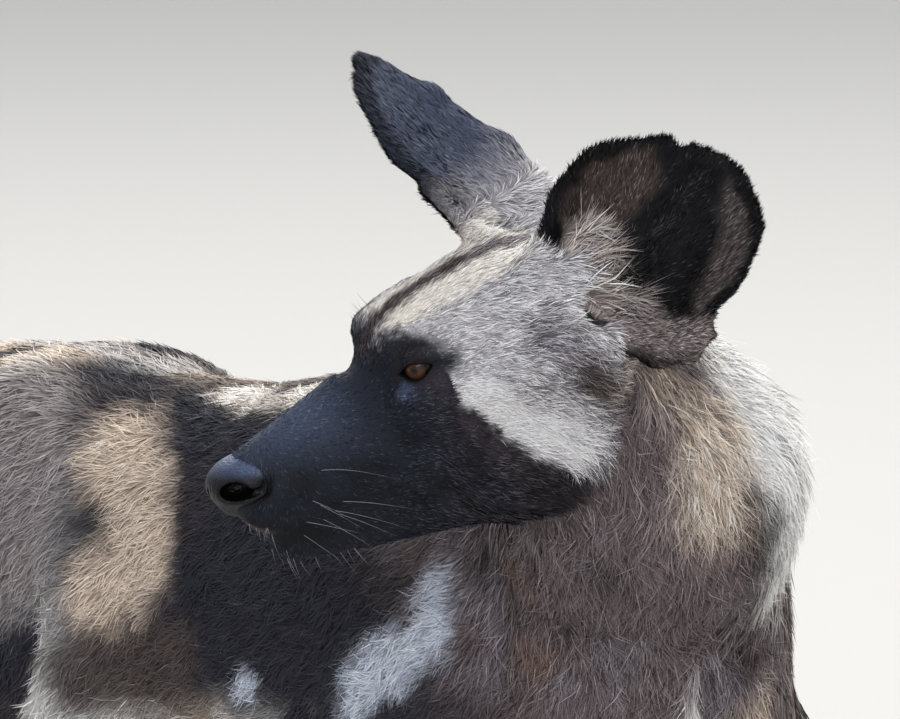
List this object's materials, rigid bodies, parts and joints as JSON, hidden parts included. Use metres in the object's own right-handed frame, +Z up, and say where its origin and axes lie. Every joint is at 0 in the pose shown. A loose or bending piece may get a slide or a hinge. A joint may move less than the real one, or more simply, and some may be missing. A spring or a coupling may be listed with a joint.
{
  "type": "african wild dog",
  "caption": "African wild dog at life size, standing on all four feet with its head turned back over its right shoulder, ears raised and tail hanging.",
  "frame": {"origin": "on the floor, under the middle of the animal's bounding box", "axes": "+Z up; the body faces -Y, with the tail at +Y and the animal's left side at +X; the head is turned back over the right shoulder, towards -X"},
  "size_m": [0.3554, 0.7732, 0.8425],
  "materials": {
    "face_coat": "short blue-black fur, with pale fur over the brow and cheek",
    "dark_coat": "dark slate fur with irregular tan and cream blotches",
    "tan_coat": "longer brown-grey and tan fur",
    "pale_coat": "bushy white fur",
    "nose_leather": "moist dark grained skin",
    "eye": "glossy brown eye",
    "claw_horn": "dark polished horn"
  },
  "bodies": {
    "root": {"head": "face_coat", "ear_left": "dark_coat", "ear_right": "face_coat", "neck": "tan_coat", "chest": "dark_coat", "loin": "dark_coat", "rump": "dark_coat", "tail_root": "tan_coat", "tail_tip": "pale_coat", "nose": "nose_leather", "eye_left": "eye", "eye_right": "eye", "fore_leg_left": "dark_coat", "fore_pastern_left": "dark_coat", "fore_paw_left": "dark_coat", "hind_thigh_left": "dark_coat", "hind_shank_left": "dark_coat", "hind_pastern_left": "dark_coat", "hind_paw_left": "dark_coat", "fore_claw_left_1": "claw_horn", "hind_claw_left_1": "claw_horn", "fore_claw_left_2": "claw_horn", "hind_claw_left_2": "claw_horn", "fore_claw_left_3": "claw_horn", "hind_claw_left_3": "claw_horn", "fore_claw_left_4": "claw_horn", "hind_claw_left_4": "claw_horn", "fore_leg_right": "dark_coat", "fore_pastern_right": "dark_coat", "fore_paw_right": "dark_coat", "hind_thigh_right": "dark_coat", "hind_shank_right": "dark_coat", "hind_pastern_right": "dark_coat", "hind_paw_right": "dark_coat", "fore_claw_right_1": "claw_horn", "hind_claw_right_1": "claw_horn", "fore_claw_right_2": "claw_horn", "hind_claw_right_2": "claw_horn", "fore_claw_right_3": "claw_horn", "hind_claw_right_3": "claw_horn", "fore_claw_right_4": "claw_horn", "hind_claw_right_4": "claw_horn"}
  },
  "joints": []
}
